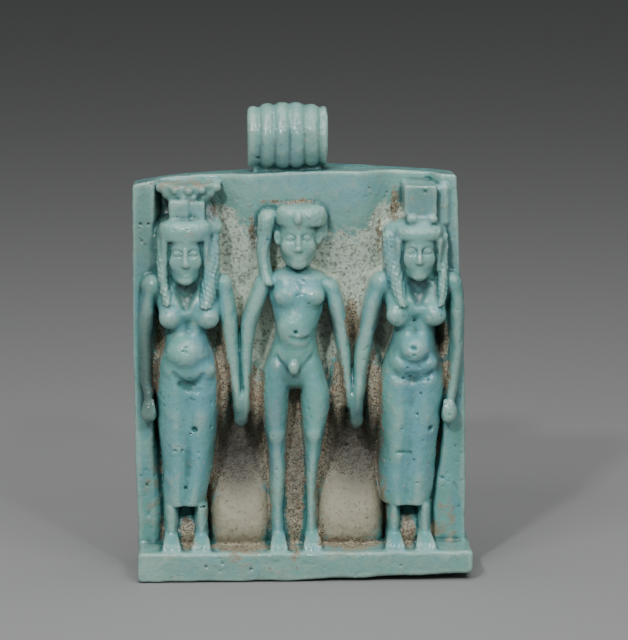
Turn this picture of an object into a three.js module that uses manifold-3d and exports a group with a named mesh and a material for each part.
// A small faience plaque amulet, moulded and fired as one piece. Two women in tight dresses hold the
// hands of a naked child between them, in high relief against a thick slab with a low arched top.
// They stand on a plinth, and a ribbed loop for a cord lies across the top of the slab.
// Millimetres. The origin is the middle of the underside, +Z is up and the figures face -Y.

import * as THREE from "three";
import { mergeVertices } from "three/addons/utils/BufferGeometryUtils.js";
import Module from "manifold-3d";

const wasm = await Module();
wasm.setup();

const WELD = 1e-4;

// Plinth: a bar along the foot of the slab, worn round at its edges, its front right corner lifted.
const PLINTH = { left: -16.5, right: 16.85, front: -5.25, back: 5.25, height: 3, worn: 0.4 };
const LIFT = { height: 0.8, foldAtFront: -6.5, foldAtRight: 1.2, spare: 1 };

// Slab: its left and right edges lean, its top is a low uneven arch that rises a little to the front.
// Side rows are [height, place].
const SLAB = {
  back: 5.25,
  bottom: 1,
  leftEdge: [[1, -16.4], [9, -16.65], [17, -16.78], [24, -16.85], [34, -16.85], [39, -16.8]],
  rightEdge: [[1, 16.45], [17, 16.3], [24, 16.05], [31, 15.7], [40, 15.3]],
  topFromLeft: [
    [-16.35, 38.97],
    [-14.75, 39.3],
    [-11.6, 39.67],
    [-7.1, 39.98],
    [-5.4, 40.1],
    [-1.5, 40.4],
    [3, 40.62],
    [5.5, 40.53],
    [10, 40.26],
    [14, 39.98],
    [14.85, 39.9],
  ],
  rise: { middle: 3, reach: 15, ends: 0.45, from: 36.5, full: 38.5 },
  columns: 44,
  rows: 46,
  worn: 0.45,
  proud: -0.9,
  spare: 1,
  inside: 3.25,
};

// The front of the slab: two side strips, a sunk field, a fuller head panel and pads at the foot.
const FIELD = {
  sunk: 1.5,
  bow: 0.2,
  bowWidth: 12,
  bowZ: 22,
  strip: -0.7,
  leftStrip: [-14.3, -15.1],
  rightStrip: [13.4, 14.3],
  headPanel: { middle: 0.2, halfWidth: 5.2, fadesAt: 9.2, from: 27.5, full: 39, front: -0.5 },
  footStrip: { from: 14, full: 6, inset: 1.6 },
  topStrip: { from: 34.5, full: 36.5, left: 0.35, right: 0.9 },
};
const PADS = [
  { x: -6.2, halfWidth: 3.2, front: -2.2, fullest: 4.3, fadesAt: 12 },
  { x: 4.65, halfWidth: 3.6, front: -2.1, fullest: 4.1, fadesAt: 12.6 },
  { x: -0.75, halfWidth: 1.4, front: -1.8, fullest: 5.2, fadesAt: 22 },
  { x: -11.6, halfWidth: 1.3, front: -1.8, fullest: 4.2, fadesAt: 9 },
  { x: 10.65, halfWidth: 1.3, front: -1.8, fullest: 4.2, fadesAt: 9 },
];
const PAD_FOOT = 0.72;
// Fuller places of the field in the narrow gaps beside the bodies.
const FILLS = [
  { x: -8, z: 19.5, halfWidth: 1.1, halfHeight: 4.5, front: -0.9 },
  { x: -14.6, z: 20.7, halfWidth: 0.9, halfHeight: 2.4, front: -0.9 },
  { x: -4.6, z: 17.5, halfWidth: 1.1, halfHeight: 3.2, front: -0.6 },
  { x: 3.7, z: 18.5, halfWidth: 1.1, halfHeight: 3.6, front: -0.6 },
  { x: 7.2, z: 18.5, halfWidth: 1.1, halfHeight: 4.5, front: -0.9 },
  { x: 14.3, z: 20.5, halfWidth: 0.9, halfHeight: 2.4, front: -0.9 },
  { x: -14.5, z: 32, halfWidth: 0.9, halfHeight: 3.4, front: -1 },
];
const FILL_EDGE = 0.7;

// Loop: a short tube along X with six worn ribs, seated in a saddle on the slab.
const LOOP = {
  left: -5.4,
  right: 2.5,
  middleY: 1.86,
  middleZ: 43.81,
  radius: 3.38,
  groove: 0.27,
  bore: 1.6,
  sides: 16,
  ribs: { count: 6, first: -4.8, pitch: 1.426, fullest: 2.4, shrink: 0.018 },
  stations: [-0.5, -0.25, 0, 0.25],
  saddle: { inset: 0.6, halfDepth: 1.1, bottom: 39.2, top: 41.6 },
};

// Level of a standing body: height, middle, half width, front face, and the plane of greatest width.
const GIRTH_Y = -0.6;
const level = (z, x, half, front, y = GIRTH_Y) => ({ z, x, y, w: half, d: y - front });

// Every body in relief is rooted in the slab at this depth, and its sides go back fairly straight.
const ROOT = { y: 2.6, square: 0.55 };
// A rounded end never gets narrower than this share of its own level, squared.
const BLUNT = 0.25;
// The hollow down the front of a dress is this share of its half width across.
const HOLLOW_WIDTH = 0.3;

const LEFT_WOMAN = {
  dress: [
    level(26.6, -11.45, 2.4, -2.9),
    level(25.2, -11.45, 1.95, -2.95),
    level(24, -11.5, 2.1, -3.2),
    level(21.4, -11.5, 3, -3.4),
    level(19.1, -11.45, 3.17, -3.55),
    level(16.6, -11.45, 3.07, -3.45),
    level(14, -11.45, 2.88, -3.35),
    level(11.4, -11.5, 2.56, -3.25),
    level(8.8, -11.7, 2.28, -3.2),
    level(7.15, -11.85, 2, -3.15),
  ],
  chest: [
    level(31, -11.5, 2.2, -2.4),
    level(30.2, -11.45, 3.2, -2.4),
    level(29, -11.45, 3.5, -2.6),
    level(27.6, -11.5, 3.15, -3.1),
    level(26, -11.5, 2.3, -2.9),
  ],
  breasts: { left: -13.15, right: -9.4, z: 26.6, y: -2.6, r: [1.1, 1.08, 1.3] },
  belly: { x: -11.65, z: 22.7, y: -2.35, r: [2, 1.85, 1.8] },
  fold: { x: -11.3, z: 21, y: -2.35, r: [2.5, 1.3, 1.15] },
  feet: [
    { x: -13.15, ankle: 0.72, toes: 1.0 },
    { x: -10.2, ankle: 0.72, toes: 1.05 },
  ],
  outerArm: [
    level(30.2, -14.9, 0.85, -2.2),
    level(27.5, -15.4, 0.8, -2.3),
    level(23.8, -15.65, 0.65, -2),
    level(20, -15.6, 0.6, -2),
    level(18.2, -15.35, 0.52, -2.3),
    level(16.8, -15.35, 0.48, -2.3),
    level(15.7, -15.3, 0.38, -1.9),
  ],
  innerArm: [
    level(30.3, -8.1, 0.95, -2.2),
    level(27.3, -7.6, 0.95, -2.35),
    level(23.4, -7.15, 0.85, -2.2),
    level(20, -6.75, 0.62, -2.1),
    level(18.5, -6.55, 0.5, -2.35),
    level(16.4, -6.5, 0.45, -2.3),
  ],
  head: { x: -11.6, chin: 29.8, crown: 36, half: 1.85, front: -4.1 },
  wig: { x: -11.6, half: 2.95 },
  hairCap: { x: -11.6, half: 2.7, top: 36.2 },
  lappets: [
    [
      level(34.7, -13.75, 0.75, -2.8),
      level(31.4, -14, 0.6, -3.1),
      level(29, -13.6, 0.6, -3.4),
      level(27.6, -13.35, 0.55, -3.75),
    ],
    [
      level(35, -9.15, 0.95, -2.6),
      level(32, -9.1, 0.95, -3),
      level(29, -9.35, 0.88, -3.5),
      level(27.3, -9.65, 0.82, -3.9),
    ],
  ],
};

const RIGHT_WOMAN = {
  dress: [
    level(26.6, 11.15, 2.4, -2.9),
    level(25.2, 11.15, 1.95, -2.95),
    level(24, 11.1, 2.1, -3.2),
    level(21.4, 11, 2.95, -3.35),
    level(19.2, 10.9, 3.3, -3.45),
    level(15.9, 10.75, 3.05, -3.45),
    level(13.2, 10.6, 2.88, -3.35),
    level(10.5, 10.45, 2.8, -3.25),
    level(8.8, 10.4, 2.68, -3.2),
    level(7.1, 10.4, 2.35, -3.15),
  ],
  chest: [
    level(31.2, 11.2, 2.2, -2.4),
    level(30.4, 11.2, 3.2, -2.4),
    level(29.3, 11.25, 3.5, -2.6),
    level(27.8, 11.2, 3.15, -3.1),
    level(26.2, 11.2, 2.3, -2.9),
  ],
  breasts: { left: 9.35, right: 13.1, z: 26.7, y: -2.6, r: [1.1, 1.08, 1.3] },
  belly: { x: 11.05, z: 23.05, y: -2.45, r: [1.6, 1.7, 1.5] },
  fold: { x: 11.1, z: 21.7, y: -2.25, r: [2.4, 1.4, 1.25] },
  feet: [
    { x: 9.15, ankle: 0.68, toes: 1.05 },
    { x: 12.2, ankle: 0.66, toes: 1.1 },
  ],
  outerArm: [
    level(30.3, 14.8, 0.9, -2.2),
    level(27.5, 15.3, 0.85, -2.3),
    level(23.1, 15.4, 0.72, -2.2),
    level(20.1, 15.1, 0.65, -2.1),
    level(18, 14.8, 0.55, -2.2),
    level(16.6, 14.6, 0.48, -2.4),
    level(15.3, 14.45, 0.38, -2),
  ],
  innerArm: [
    level(30.4, 7.9, 0.95, -2.2),
    level(27.4, 7.05, 0.95, -2.35),
    level(24, 6.3, 0.88, -2.2),
    level(20.8, 5.75, 0.72, -2.1),
    level(18.2, 5.5, 0.72, -2.5),
    level(16.9, 5.4, 0.72, -2.55),
    level(16.1, 5.3, 0.6, -2.2),
    level(14.6, 5.15, 0.5, -1.8),
  ],
  head: { x: 11.45, chin: 30.1, crown: 35.9, half: 1.8, front: -4.1 },
  wig: { x: 11.15, half: 3.25 },
  hairCap: { x: 11.45, half: 2.35, top: 35.6 },
  lappets: [
    [
      level(35, 8.75, 0.95, -2.6),
      level(32.4, 8.9, 1, -2.9),
      level(29, 9.45, 0.85, -3.5),
      level(27.4, 9.9, 0.75, -3.85),
    ],
    [
      level(34.9, 13.7, 0.8, -2.7),
      level(31.4, 13.95, 0.65, -3.1),
      level(29, 13.8, 0.65, -3.5),
      level(27.4, 13.6, 0.6, -3.85),
    ],
  ],
};

const CHILD = {
  trunk: [
    level(30.9, -0.7, 2, -2.1),
    level(30, -0.55, 3, -2.45),
    level(28.7, -0.45, 3, -2.75),
    level(27, -0.45, 2.5, -2.95),
    level(24.4, -0.65, 2, -3),
    level(22.4, -0.8, 2.45, -2.9),
    level(20.6, -0.85, 2.85, -2.6),
    level(18.8, -0.8, 2.6, -2),
  ],
  breasts: { left: -1.55, right: 0.9, z: 28.4, y: -2.2, r: [1.25, 0.95, 1.1] },
  belly: { x: -0.85, z: 25.1, y: -2.2, r: [1.6, 1.35, 1.9] },
  loins: { x: -0.95, z: 21.3, y: -2.6, r: [0.6, 0.8, 0.85] },
  legs: [
    [
      level(22.5, -2, 1, -2.2),
      level(20, -2.6, 1.4, -2.5),
      level(18, -2.75, 1.4, -2.7),
      level(14, -2.65, 1.05, -2.6),
      level(10.2, -2.5, 0.78, -2.4),
      level(7, -2.55, 0.72, -2.3),
      level(4.6, -2.5, 0.75, -2.4),
      level(2.5, -2.45, 0.8, -2.6),
    ],
    [
      level(22.5, 0.3, 1, -2.2),
      level(20, 0.95, 1.38, -2.5),
      level(18, 1.3, 1.5, -2.7),
      level(14, 1.1, 1.05, -2.6),
      level(10.2, 0.9, 0.64, -2.4),
      level(8.2, 0.82, 0.5, -2.3),
      level(4.6, 0.8, 0.65, -2.4),
      level(2.5, 0.85, 0.8, -2.6),
    ],
  ],
  feet: [
    { x: -2.45, toes: 0.95 },
    { x: 0.9, toes: 1 },
  ],
  arms: [
    [
      level(30.4, -3.5, 0.95, -2),
      level(27.5, -4.65, 0.85, -2.1),
      level(24.8, -5.45, 0.75, -2),
      level(21.5, -5.65, 0.6, -1.9),
      level(18.6, -5.65, 0.5, -2.1),
      level(16.4, -5.65, 0.45, -2.2),
    ],
    [
      level(29.9, 2.4, 1, -2),
      level(27.4, 3.25, 0.85, -2.1),
      level(24.8, 3.8, 0.75, -2),
      level(21.5, 4.2, 0.6, -2),
      level(18.4, 4.6, 0.55, -2.2),
      level(16.8, 4.75, 0.5, -2.1),
    ],
  ],
  head: { x: -0.45, chin: 31.2, crown: 37.3, half: 1.9, front: -3.2 },
  cap: { x: -0.15, half: 2.65 },
  hairCap: { x: -0.15, half: 2.55, top: 37.4 },
  lock: [
    level(36.95, -3.35, 0.85, -1.3),
    level(35.7, -3.5, 1.05, -1.7),
    level(34.2, -3.7, 0.85, -1.5),
    level(32.5, -3.9, 0.7, -1.6),
    level(31, -3.75, 0.7, -1.9),
    level(29.4, -3.3, 0.9, -2.7),
  ],
  browSnake: { x: -0.5, z: 36.2, y: -2.8, r: [0.4, 0.65, 0.7] },
};

// Headdresses: a knobbed basket on a house for one woman, a stepped seat for the other.
const BASKET = {
  girth: 0.7,
  levels: [
    [39.5, -11.3, 3.35, -2.3],
    [39.2, -11.3, 3.15, -2.35],
    [38.7, -11.35, 2.5, -2.45],
    [38.2, -11.4, 1.9, -2.5],
    [37.8, -11.45, 1.6, -2.5],
  ],
};
const BASKET_KNOBS = {
  count: 9,
  radius: 0.42,
  depth: 0.4,
  turn: 1,
  across: 2.9,
  ahead: 2.95,
  upper: 39,
  lower: 38.4,
  narrow: 0.38,
};
const HOUSE = { left: -13.2, right: -9.6, top: 38.1, bottom: 35.7, front: -2.8 };
const SEAT = { left: 10, right: 13.25, top: 39.2, bottom: 36.4, front: -2.6 };
const SEAT_FOOT = { left: 10.25, right: 13.2, top: 36.45, bottom: 35.7, front: -2.85 };
const SEAT_STEM = { left: 11.1, right: 12.6, top: 35.9, bottom: 34.6, front: -3 };
const EDGE = 0.22;

// Face: a plain calm one in classic proportions, as shares of the head's height from chin to crown.
const FACE = { eyes: 0.5, nose: 0.3, mouth: 0.18, hairline: 0.73 };
// Levels of the skull: a feature, a share of the head's half width, and how far behind its front.
const SKULL = [
  ["vertex", 0.95, 0.5],
  ["hairline", 1, 0.1],
  ["eyes", 1, 0.1],
  ["nose", 0.96, 0.05],
  ["mouth", 0.88, 0.12],
  ["chin", 0.62, 0.4],
];
const VERTEX_DROP = 0.3;
// The head is widest at this share of its half width behind its front.
const HEAD_GIRTH = 1.4;
// Levels of the nose: a feature and a step from it, a share of the half width, and how far ahead.
const NOSE = [
  ["eyes", 0.1, 0.13, 0.1],
  ["nose", 0.12, 0.24, 0.4],
  ["nose", -0.12, 0.22, 0.25],
];
const NOSE_ROOT = 0.6;
const EYE = { across: 0.42, behind: 0.32, wide: 0.24, deep: 0.34, high: 0.12 };
const EAR = { across: 1.06, behind: 1.1, drop: 0.15, wide: 0.35, deep: 0.6, high: 0.38 };
const LIPS = { behind: 0.3, wide: 0.3, deep: 0.4, high: 0.12 };
const NECK = { above: 1, below: 1, upper: 0.7, lower: 0.8, upperBehind: 1.5, lowerBehind: 1.8 };

// Wig or cap: how far it stands above the crown, and its front at the crown and beside the face.
const WIG = { rise: 0.1, crownFront: -2.9, sideFront: -2.9, shoulderFront: -2.4, shoulderZ: 28.7 };
const CAP = { rise: 0.1, crownFront: -1.7, sideFront: -1.9, below: 0.3 };
// Shares of a wig's or cap's half width, and how far down its upper level is.
const HAIR = {
  wig: { crown: 0.8, upper: 0.97, shoulder: 0.95, drop: 0.3 },
  cap: { crown: 0.75, upper: 0.97, drop: 0.35 },
};
// Cap of hair over the brow, from under the hairline: share of its height, how much narrower, how far back.
const BROW_BELOW = 0.3;
const BROW = [
  [0, 0.2, 0.08],
  [0.45, 0, -0.02],
  [0.8, 0.15, 0.2],
  [1, 0.5, 0.6],
];

// Foot: a shin, and a tread that widens and falls from heel to toes.
const FOOT = { bottom: 2.8, heelY: -1.6, tipY: -4.8, instep: 1.6, toeHeight: 0.9, shinFront: -2.6 };
const TREAD = { sides: 10, rings: 3, square: 0.6, tipFrom: 0.9, tipWidth: 0.85, tipHeight: 0.75 };
const SHIN_TOP = { woman: 0.6, child: 4 };
const CHILD_ANKLE = 0.7;

// Facets are thinned in rounds: a side under `short` is drawn to a point where that moves the surface
// less than `off`, and a sliver lower than `thin` is turned.
const THIN = 0.004;
const MENDING = [
  { short: 0.03, off: 0.03, thin: THIN },
  { short: 0.2, off: 0.012, thin: THIN },
  { short: 0.5, off: 0.01, thin: THIN },
  { short: 1.2, off: 0.008, thin: THIN },
  { short: 3, off: 0.004, thin: THIN },
  { short: 0.03, off: 0.03, thin: THIN },
  { short: 0.03, off: 0.03, thin: THIN },
];

const LOOKS = {
  colour: 0x7fb0aa,
  roughness: 0.28,
  metalness: 0,
};

const smooth = THREE.MathUtils.smoothstep;
const mix = THREE.MathUtils.lerp;

// 0 outside, 1 inside, easing from `from` to `to` in either direction.
function ease(value, from, to) {
  return from < to ? smooth(value, from, to) : 1 - smooth(value, to, from);
}

// Value between [position, value] rows sorted upward, on a cubic that never passes beyond them.
function along(rows, at) {
  const last = rows.length - 1;
  if (at <= rows[0][0]) {
    return rows[0][1];
  }
  if (at >= rows[last][0]) {
    return rows[last][1];
  }
  const i = rows.findIndex((row, n) => n < last && at <= rows[n + 1][0]);
  const rise = (n) => (rows[n + 1][1] - rows[n][1]) / (rows[n + 1][0] - rows[n][0]);
  const slope = (n) => {
    if (n === 0 || n === last) {
      return rise(Math.min(n, last - 1));
    }
    const product = rise(n - 1) * rise(n);
    return product > 0 ? (2 * product) / (rise(n - 1) + rise(n)) : 0;
  };
  const step = rows[i + 1][0] - rows[i][0];
  const t = (at - rows[i][0]) / step;
  const t2 = t * t;
  const t3 = t2 * t;
  const start = (2 * t3 - 3 * t2 + 1) * rows[i][1] + (t3 - 2 * t2 + t) * step * slope(i);
  const end = (3 * t2 - 2 * t3) * rows[i + 1][1] + (t3 - t2) * step * slope(i + 1);
  return start + end;
}

// A closed geometry as a solid.
function solidOf(geometry) {
  const bare = geometry.clone();
  bare.deleteAttribute("normal");
  bare.deleteAttribute("uv");
  const merged = mergeVertices(bare, WELD);
  const mesh = new wasm.Mesh({
    numProp: 3,
    vertProperties: merged.attributes.position.array,
    triVerts: new Uint32Array(merged.index.array),
  });
  return new wasm.Manifold(mesh);
}

function joined(solids) {
  return solids.reduce((whole, next) => whole.add(next));
}

// Every vertex of a geometry moved by a function of its own place.
function moved(geometry, place) {
  const points = geometry.attributes.position;
  const at = new THREE.Vector3();
  for (let i = 0; i < points.count; i += 1) {
    at.fromBufferAttribute(points, i);
    const [x, y, z] = place(at.x, at.y, at.z);
    points.setXYZ(i, x, y, z);
  }
  return geometry;
}

function ellipsoid([x, y, z], [rx, ry, rz], around = 10, down = 6) {
  const ball = new THREE.SphereGeometry(1, around, down);
  return solidOf(moved(ball, (a, b, c) => [x + a * rx, y - c * ry, z + b * rz]));
}

// A coordinate from -1 to 1 pushed outward, which squares a round section.
function squared(value, power) {
  return Math.sign(value) * Math.abs(value) ** power;
}

// A body of elliptical levels, rounded at its top and foot over the heights given. Its back half is
// squarer and is rooted in the slab.
function column(levels, { sides = 8, steps = 5, roundTop = 0.5, roundFoot = 0.3, hollow = 0 } = {}) {
  const rows = [...levels].sort((a, b) => a.z - b.z);
  const foot = rows[0].z;
  const top = rows[rows.length - 1].z;
  const track = (key) => rows.map((row) => [row.z, row[key]]);
  const tracks = { x: track("x"), y: track("y"), w: track("w"), d: track("d") };
  const inner = (t) => mix(foot + roundFoot, top - roundTop, t);
  const heights = [foot];
  for (let i = 0; i <= steps; i += 1) {
    heights.push(inner(i / steps));
  }
  heights.push(top);
  const shrink = (z) => {
    const nearFoot = Math.min(1, (z - foot) / roundFoot);
    const nearTop = Math.min(1, (top - z) / roundTop);
    const reach = Math.min(nearFoot, nearTop);
    return Math.sqrt(Math.max(BLUNT, 1 - (1 - reach) ** 2));
  };
  const rings = heights.length - 1;
  const body = new THREE.CylinderGeometry(1, 1, 1, sides, rings);
  return solidOf(
    moved(body, (a, b, c) => {
      const z = heights[Math.round((b + 0.5) * rings)];
      const size = shrink(z);
      const middle = along(tracks.y, z);
      const across = c < 0 ? squared(a, ROOT.square) : a;
      const x = along(tracks.x, z) + across * along(tracks.w, z) * size;
      const dip = 1 - hollow * Math.exp(-((a / HOLLOW_WIDTH) ** 2)) * c;
      const depth = c < 0 ? ROOT.y - middle : along(tracks.d, z) * size * dip;
      return [x, middle - c * depth, z];
    }),
  );
}

// A block with its front and upright edges worn, reaching back into the slab.
function block({ left, right, top, bottom, front }) {
  const back = SLAB.inside;
  const outline = new THREE.Shape();
  outline.moveTo(left, back);
  outline.lineTo(left, front + EDGE);
  outline.lineTo(left + EDGE, front);
  outline.lineTo(right - EDGE, front);
  outline.lineTo(right, front + EDGE);
  outline.lineTo(right, back);
  outline.closePath();
  const bar = new THREE.ExtrudeGeometry(outline, { depth: top - bottom, bevelEnabled: false });
  return solidOf(bar.translate(0, 0, bottom));
}

function padDepth(x, z) {
  let reach = 0;
  for (const pad of PADS) {
    const across = Math.max(0, 1 - (Math.abs(x - pad.x) / pad.halfWidth) ** 4);
    const up = z > pad.fullest
      ? 1 - smooth(z, pad.fullest, pad.fadesAt)
      : mix(PAD_FOOT, 1, smooth(z, PLINTH.height - 0.4, pad.fullest));
    reach = Math.max(reach, (FIELD.sunk - pad.front) * Math.sqrt(across) * up);
  }
  return reach;
}

function fillDepth(x, z) {
  let reach = 0;
  for (const fill of FILLS) {
    const off = ((x - fill.x) / fill.halfWidth) ** 2 + ((z - fill.z) / fill.halfHeight) ** 2;
    reach = Math.max(reach, (FIELD.sunk - fill.front) * Math.exp(-FILL_EDGE * off * off));
  }
  return reach;
}

// The front face of the slab at a place across and up it.
function slabFront(x, z) {
  const panel = FIELD.headPanel;
  const panelAcross = ease(Math.abs(x - panel.middle), panel.fadesAt, panel.halfWidth);
  const panelWeight = panelAcross * ease(z, panel.from, panel.full);
  const bowed = Math.cos(x / FIELD.bowWidth) * Math.cos((z - FIELD.bowZ) / FIELD.bowWidth);
  const sunk = FIELD.sunk + FIELD.bow * bowed;
  const pads = sunk - Math.max(padDepth(x, z), fillDepth(x, z));
  const field = Math.min(pads, mix(sunk, panel.front, panelWeight));
  const inset = FIELD.footStrip.inset * ease(z, FIELD.footStrip.from, FIELD.footStrip.full);
  const beside = ease(z, FIELD.topStrip.from, FIELD.topStrip.full);
  const left = FIELD.topStrip.left * beside;
  const right = inset + FIELD.topStrip.right * beside;
  const leftWeight = ease(x, FIELD.leftStrip[0] + inset + left, FIELD.leftStrip[1] + left);
  const rightWeight = ease(x, FIELD.rightStrip[0] - right, FIELD.rightStrip[1] - right / 2);
  return mix(field, FIELD.strip, Math.max(leftWeight, rightWeight));
}

// The slab is a plain arched block, and a cutter with the front's own shape takes its face down.
function slab() {
  const { columns, rows, worn, back, bottom, proud, spare } = SLAB;
  const { leftEdge, rightEdge, topFromLeft } = SLAB;
  const inward = (edge, shift) => edge.map(([z, x]) => [x + shift, z]).slice(0, -1);
  const up = inward(rightEdge, -worn);
  const over = topFromLeft.map(([x, z]) => [x, z - worn]).reverse();
  const down = inward(leftEdge, worn).reverse();
  const outline = new THREE.Shape([...up, ...over, ...down].map(([x, z]) => new THREE.Vector2(x, z)));
  const blank = new THREE.ExtrudeGeometry(outline, {
    depth: back - proud - 2 * worn,
    bevelEnabled: true,
    bevelThickness: worn,
    bevelSize: worn,
    bevelSegments: 2,
  });
  blank.rotateX(Math.PI / 2);
  blank.translate(0, back - worn, 0);
  const highest = Math.max(...topFromLeft.map(([, z]) => z));
  const leftmost = Math.min(...leftEdge.map(([, x]) => x));
  const rightmost = Math.max(...rightEdge.map(([, x]) => x));
  const { rise } = SLAB;
  moved(blank, (x, y, z) => {
    const most = rise.ends * Math.min(1, Math.abs(x - rise.middle) / rise.reach);
    return [x, y, z + (most * smooth(z, rise.from, rise.full) * (back - y)) / (back - proud)];
  });
  const box = new THREE.BoxGeometry(1, 1, 1, columns, 1, rows);
  const cutter = moved(box, (a, b, c) => {
    const z = mix(bottom + spare, highest + spare, c + 0.5);
    const x = mix(leftmost - spare, rightmost + spare, a + 0.5);
    return [x, b > 0 ? slabFront(x, z) : proud - 2 * spare, z];
  });
  return solidOf(blank).subtract(solidOf(cutter));
}

function plinth() {
  const { left, right, front, back, height, worn } = PLINTH;
  const outline = new THREE.Shape();
  outline.moveTo(left + worn, front + worn);
  outline.lineTo(right - worn, front + worn);
  outline.lineTo(right - worn, back - worn);
  outline.lineTo(left + worn, back - worn);
  outline.closePath();
  const bar = new THREE.ExtrudeGeometry(outline, {
    depth: height - 2 * worn,
    bevelEnabled: true,
    bevelThickness: worn,
    bevelSize: worn,
    bevelSegments: 3,
  });
  return solidOf(bar.translate(0, 0, worn)).subtract(liftedCorner());
}

// The wedge that is missing under the front right corner of the plinth.
function liftedCorner() {
  const { right, front } = PLINTH;
  const hinge = new THREE.Vector3(LIFT.foldAtFront, front, 0);
  const corner = new THREE.Vector3(right, front, 0);
  const fold = new THREE.Vector3(right, LIFT.foldAtRight, 0).sub(hinge).normalize();
  const outward = new THREE.Vector3(fold.y, -fold.x, 0);
  const reach = corner.clone().sub(hinge).dot(outward);
  const length = corner.distanceTo(hinge) * 3;
  const wedge = new THREE.BoxGeometry(1, 1, 1);
  return solidOf(
    moved(wedge, (a, b, c) => {
      const out = (b + 0.5) * reach * 2;
      const rise = c > 0 ? (LIFT.height * out) / reach : -LIFT.spare;
      const spot = hinge.clone().addScaledVector(fold, -a * length).addScaledVector(outward, out);
      return [spot.x, spot.y, rise];
    }),
  );
}

function loop() {
  const { left, right, radius, groove, bore, ribs, stations, sides, middleY, middleZ } = LOOP;
  const width = right - left;
  // Places along the loop are counted in ribs from the middle of the first, which clips at both ends.
  const places = [];
  for (let i = 0; i < ribs.count; i += 1) {
    places.push(...stations.map((station) => i + station));
  }
  const least = (left - ribs.first) / ribs.pitch;
  const most = (right - ribs.first) / ribs.pitch;
  const inner = places.filter((place) => place > least && place < most);
  const profile = [new THREE.Vector2(bore, 0)];
  for (const place of [least, ...inner, most]) {
    const swell = Math.abs(Math.cos(Math.PI * place));
    const full = radius * (1 - ribs.shrink * (place - ribs.fullest) ** 2);
    profile.push(new THREE.Vector2(full - groove * (1 - swell), (place - least) * ribs.pitch));
  }
  profile.push(new THREE.Vector2(bore, width));
  profile.push(new THREE.Vector2(bore, 0));
  const ring = new THREE.LatheGeometry(profile, sides);
  ring.rotateZ(-Math.PI / 2);
  ring.translate(left, middleY, middleZ);
  const { inset, halfDepth, bottom, top } = LOOP.saddle;
  const seat = new THREE.BoxGeometry(width - 2 * inset, 2 * halfDepth, top - bottom);
  seat.translate((left + right) / 2, middleY, (top + bottom) / 2);
  const cord = new THREE.CylinderGeometry(bore, bore, width + 2, sides);
  cord.rotateZ(Math.PI / 2);
  cord.translate((left + right) / 2, middleY, middleZ);
  return solidOf(ring).add(solidOf(seat).subtract(solidOf(cord)));
}

// Heights of a head's features, from its chin and crown.
function featuresOf({ chin, crown }) {
  const found = { chin, vertex: crown - VERTEX_DROP };
  for (const [name, share] of Object.entries(FACE)) {
    found[name] = mix(chin, crown, share);
  }
  return found;
}

function face(head) {
  const { x, chin, half, front } = head;
  const at = featuresOf(head);
  const girth = front + half * HEAD_GIRTH;
  const skull = column(
    SKULL.map(([name, share, behind]) => level(at[name], x, half * share, front + behind, girth)),
    { sides: 12, steps: 5, roundTop: 0.8, roundFoot: 0.4 },
  );
  const root = front + NOSE_ROOT;
  const ridge = column(
    NOSE.map(([name, step, share, ahead]) => level(at[name] + step, x, half * share, front - ahead, root)),
    { sides: 6, steps: 1, roundTop: 0.3, roundFoot: 0.12 },
  );
  const pairs = [-1, 1].flatMap((side) => [
    ellipsoid(
      [x + side * half * EYE.across, front + EYE.behind, at.eyes],
      [half * EYE.wide, EYE.deep, half * EYE.high],
      6,
      4,
    ),
    ellipsoid(
      [x + side * half * EAR.across, front + half * EAR.behind, at.eyes - EAR.drop],
      [EAR.wide, EAR.deep, half * EAR.high],
      6,
      4,
    ),
  ]);
  const mouth = [x, front + LIPS.behind, at.mouth];
  const lips = ellipsoid(mouth, [half * LIPS.wide, LIPS.deep, half * LIPS.high], 6, 4);
  const neck = column(
    [
      level(chin + NECK.above, x, half * NECK.upper, front + NECK.upperBehind),
      level(chin - NECK.below, x, half * NECK.lower, front + NECK.lowerBehind),
    ],
    { sides: 8, steps: 1 },
  );
  return joined([skull, ridge, lips, neck, ...pairs]);
}

// The cap of hair over the brow, up to the crown.
function browBand(head, { x, half, top }) {
  const bottom = featuresOf(head).hairline - BROW_BELOW;
  const girth = head.front + head.half;
  const rows = BROW.map(([share, narrower, behind]) =>
    level(mix(bottom, top, share), x, half - narrower, head.front + behind, girth),
  );
  return column(rows, { sides: 12, steps: 3, roundTop: 0.5, roundFoot: 0.25 });
}

function foot(x, ankle, toes, ankleZ) {
  const { bottom, heelY, tipY, instep, toeHeight, shinFront } = FOOT;
  const { sides, rings, square, tipFrom, tipWidth, tipHeight } = TREAD;
  const shin = column([level(ankleZ, x, ankle, shinFront), level(bottom, x, ankle, shinFront)], {
    sides: 8,
    steps: 1,
  });
  const sole = new THREE.CylinderGeometry(1, 1, 1, sides, rings);
  const tread = solidOf(
    moved(sole, (a, b, c) => {
      const t = b + 0.5;
      const half = mix(ankle, toes, t) * (t > tipFrom ? tipWidth : 1);
      const high = mix(instep, toeHeight, t) * (t > tipFrom ? tipHeight : 1);
      return [x + squared(a, square) * half, mix(heelY, tipY, t), bottom - c * high];
    }),
  );
  return shin.add(tread);
}

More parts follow.
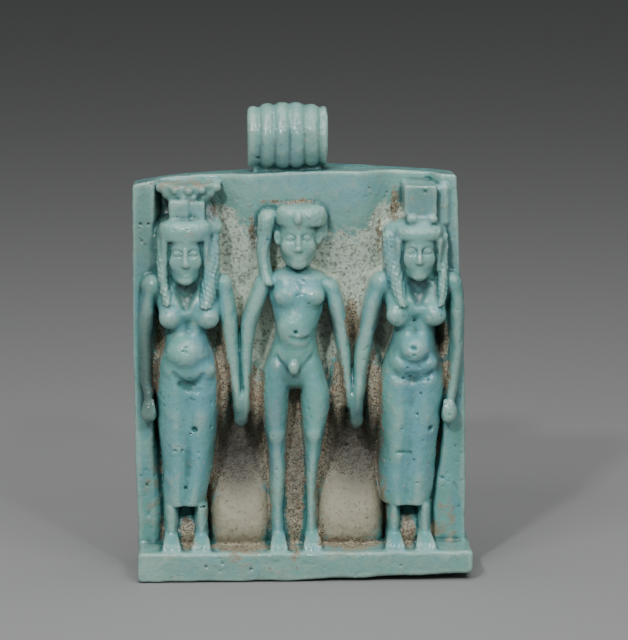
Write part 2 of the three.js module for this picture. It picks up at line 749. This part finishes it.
function woman(her) {
  const { dress, chest, breasts, belly, fold, head, wig, hairCap } = her;
  const { eyes } = featuresOf(head);
  const hem = Math.min(...dress.map((row) => row.z));
  const { crown, upper, shoulder, drop } = HAIR.wig;
  const hair = column(
    [
      level(head.crown + WIG.rise, wig.x, wig.half * crown, WIG.crownFront),
      level(head.crown - wig.half * drop, wig.x, wig.half * upper, WIG.crownFront),
      level(eyes, wig.x, wig.half, WIG.sideFront),
      level(WIG.shoulderZ, wig.x, wig.half * shoulder, WIG.shoulderFront),
    ],
    { sides: 14, steps: 5, roundTop: 1.2 },
  );
  return joined([
    column(dress, { sides: 14, steps: 6, roundFoot: 0.2, hollow: 0.09 }),
    column(chest, { sides: 14, steps: 4, roundTop: 0.8 }),
    ellipsoid([breasts.left, breasts.y, breasts.z], breasts.r, 10, 6),
    ellipsoid([breasts.right, breasts.y, breasts.z], breasts.r, 10, 6),
    ellipsoid([belly.x, belly.y, belly.z], belly.r),
    ellipsoid([fold.x, fold.y, fold.z], fold.r),
    column(her.outerArm, { sides: 8 }),
    column(her.innerArm, { sides: 8 }),
    hair,
    browBand(head, hairCap),
    face(head),
    ...her.lappets.map((lappet) => column(lappet, { steps: 3 })),
    ...her.feet.map(({ x, ankle, toes }) => foot(x, ankle, toes, hem + SHIN_TOP.woman)),
  ]);
}

function child(boy) {
  const { trunk, breasts, belly, loins, head, cap, hairCap, browSnake } = boy;
  const { eyes } = featuresOf(head);
  const { crown, upper, drop } = HAIR.cap;
  const hair = column(
    [
      level(head.crown + CAP.rise, cap.x, cap.half * crown, CAP.crownFront),
      level(head.crown - cap.half * drop, cap.x, cap.half * upper, CAP.sideFront),
      level(eyes - CAP.below, cap.x, cap.half, CAP.sideFront),
    ],
    { sides: 14, steps: 4, roundTop: 1.2 },
  );
  return joined([
    column(trunk, { sides: 12, steps: 7, roundTop: 0.8, roundFoot: 1.2 }),
    ellipsoid([breasts.left, breasts.y, breasts.z], breasts.r, 8, 6),
    ellipsoid([breasts.right, breasts.y, breasts.z], breasts.r, 8, 6),
    ellipsoid([belly.x, belly.y, belly.z], belly.r),
    ellipsoid([loins.x, loins.y, loins.z], loins.r, 8, 5),
    hair,
    browBand(head, hairCap),
    ellipsoid([browSnake.x, browSnake.y, browSnake.z], browSnake.r, 6, 4),
    column(boy.lock, { steps: 6 }),
    face(head),
    ...boy.arms.map((arm) => column(arm, { sides: 8 })),
    ...boy.legs.map((leg) => column(leg, { sides: 8, steps: 6 })),
    ...boy.feet.map(({ x, toes }) => foot(x, CHILD_ANKLE, toes, SHIN_TOP.child)),
  ]);
}

function basket() {
  const levels = BASKET.levels.map(([z, x, half, front]) => level(z, x, half, front, BASKET.girth));
  const middle = levels[0].x;
  const { count, radius, depth, turn, across, ahead, upper, lower, narrow } = BASKET_KNOBS;
  const knobs = [];
  for (let i = 0; i < count; i += 1) {
    const low = i % 2;
    const angle = mix(-turn, turn, i / (count - 1));
    const out = Math.sin(angle) * across * (1 - low * narrow);
    const at = [middle + out, BASKET.girth - Math.cos(angle) * ahead, low ? lower : upper];
    knobs.push(ellipsoid(at, [radius, depth, radius], 6, 4));
  }
  return joined([column(levels, { sides: 16, steps: 3, roundTop: 0.12, roundFoot: 0.2 }), ...knobs]);
}

function seat() {
  return joined([block(SEAT), block(SEAT_FOOT), block(SEAT_STEM)]);
}

// A mesh of shared points whose facets can be mended in place.
class Facets {
  constructor({ vertProperties, triVerts, numProp }) {
    this.points = [];
    for (let i = 0; i < vertProperties.length; i += numProp) {
      this.points.push(new THREE.Vector3().fromArray(vertProperties, i));
    }
    this.faces = [];
    for (let i = 0; i < triVerts.length; i += 3) {
      this.faces.push([triVerts[i], triVerts[i + 1], triVerts[i + 2]]);
    }
    this.around = this.points.map(() => new Set());
    this.faces.forEach((face, i) => face.forEach((point) => this.around[point].add(i)));
  }

  normal(face, moving = -1, spot = null) {
    const [a, b, c] = face.map((point) => (point === moving ? spot : this.points[point]));
    return new THREE.Vector3().subVectors(b, a).cross(new THREE.Vector3().subVectors(c, a));
  }

  neighbours(point) {
    const found = new Set([...this.around[point]].flatMap((i) => this.faces[i]));
    found.delete(point);
    return found;
  }

  // How far a new spot for a point lies off the faces round it, or Infinity if a face would fold over.
  strays(point, spot, other) {
    let most = 0;
    for (const i of this.around[point]) {
      const face = this.faces[i];
      const before = this.normal(face);
      const move = new THREE.Vector3().subVectors(spot, this.points[point]);
      most = Math.max(most, Math.abs(move.dot(before)) / (before.length() || 1));
      if (!face.includes(other) && before.dot(this.normal(face, point, spot)) <= 0) {
        return Infinity;
      }
    }
    return most;
  }

  // Draws a point into its neighbour, if the surface stays whole and moves no more than allowed.
  draw(point, into, off) {
    const shared = [...this.neighbours(point)].filter((other) => this.neighbours(into).has(other));
    if (shared.length !== 2 || this.strays(point, this.points[into], into) > off) {
      return false;
    }
    for (const i of [...this.around[point]]) {
      const face = this.faces[i];
      if (face.includes(into)) {
        face.forEach((corner) => this.around[corner].delete(i));
        this.faces[i] = null;
      } else {
        this.faces[i] = face.map((corner) => (corner === point ? into : corner));
        this.around[into].add(i);
      }
    }
    this.around[point].clear();
    return true;
  }

  // Turns the long side of a flat sliver to the other diagonal.
  flip(i, a, b, c) {
    const other = [...this.around[a]].find((n) => n !== i && this.faces[n].includes(b));
    const d = this.faces[other].find((corner) => corner !== a && corner !== b);
    if (this.neighbours(c).has(d)) {
      return;
    }
    this.faces[i] = [a, d, c];
    this.faces[other] = [d, b, c];
    this.around[b].delete(i);
    this.around[d].add(i);
    this.around[a].delete(other);
    this.around[c].add(other);
  }

  mendFace(i, { short, off, thin }) {
    const face = this.faces[i];
    const sides = face.map((a, n) => {
      const b = face[(n + 1) % 3];
      return { a, b, c: face[(n + 2) % 3], length: this.points[a].distanceTo(this.points[b]) };
    });
    sides.sort((one, two) => one.length - two.length);
    for (const { a, b, length } of sides) {
      if (length < short && (this.draw(a, b, off) || this.draw(b, a, off))) {
        return;
      }
    }
    const long = sides[2];
    if (this.normal(face).length() / long.length < thin) {
      this.flip(i, long.a, long.b, long.c);
    }
  }

  mend(rule) {
    for (let i = 0; i < this.faces.length; i += 1) {
      if (this.faces[i]) {
        this.mendFace(i, rule);
      }
    }
  }

  geometry() {
    const geometry = new THREE.BufferGeometry();
    geometry.setAttribute("position", new THREE.BufferAttribute(new Float32Array(this.points.length * 3), 3));
    this.points.forEach((point, i) => geometry.attributes.position.setXYZ(i, point.x, point.y, point.z));
    geometry.setIndex(this.faces.filter(Boolean).flat());
    return mergeVertices(geometry, WELD);
  }
}

function plaque() {
  const whole = joined([
    plinth(),
    slab(),
    loop(),
    block(HOUSE),
    basket(),
    seat(),
    woman(LEFT_WOMAN),
    woman(RIGHT_WOMAN),
    child(CHILD),
  ]);
  const facets = new Facets(whole.getMesh());
  for (const rule of MENDING) {
    facets.mend(rule);
  }
  return facets.geometry();
}

const glaze = new THREE.MeshStandardMaterial({
  color: LOOKS.colour,
  roughness: LOOKS.roughness,
  metalness: LOOKS.metalness,
});
const triad = new THREE.Mesh(plaque(), glaze);
triad.name = "triad_plaque";

const amulet = new THREE.Group();
amulet.add(triad);

export default amulet;
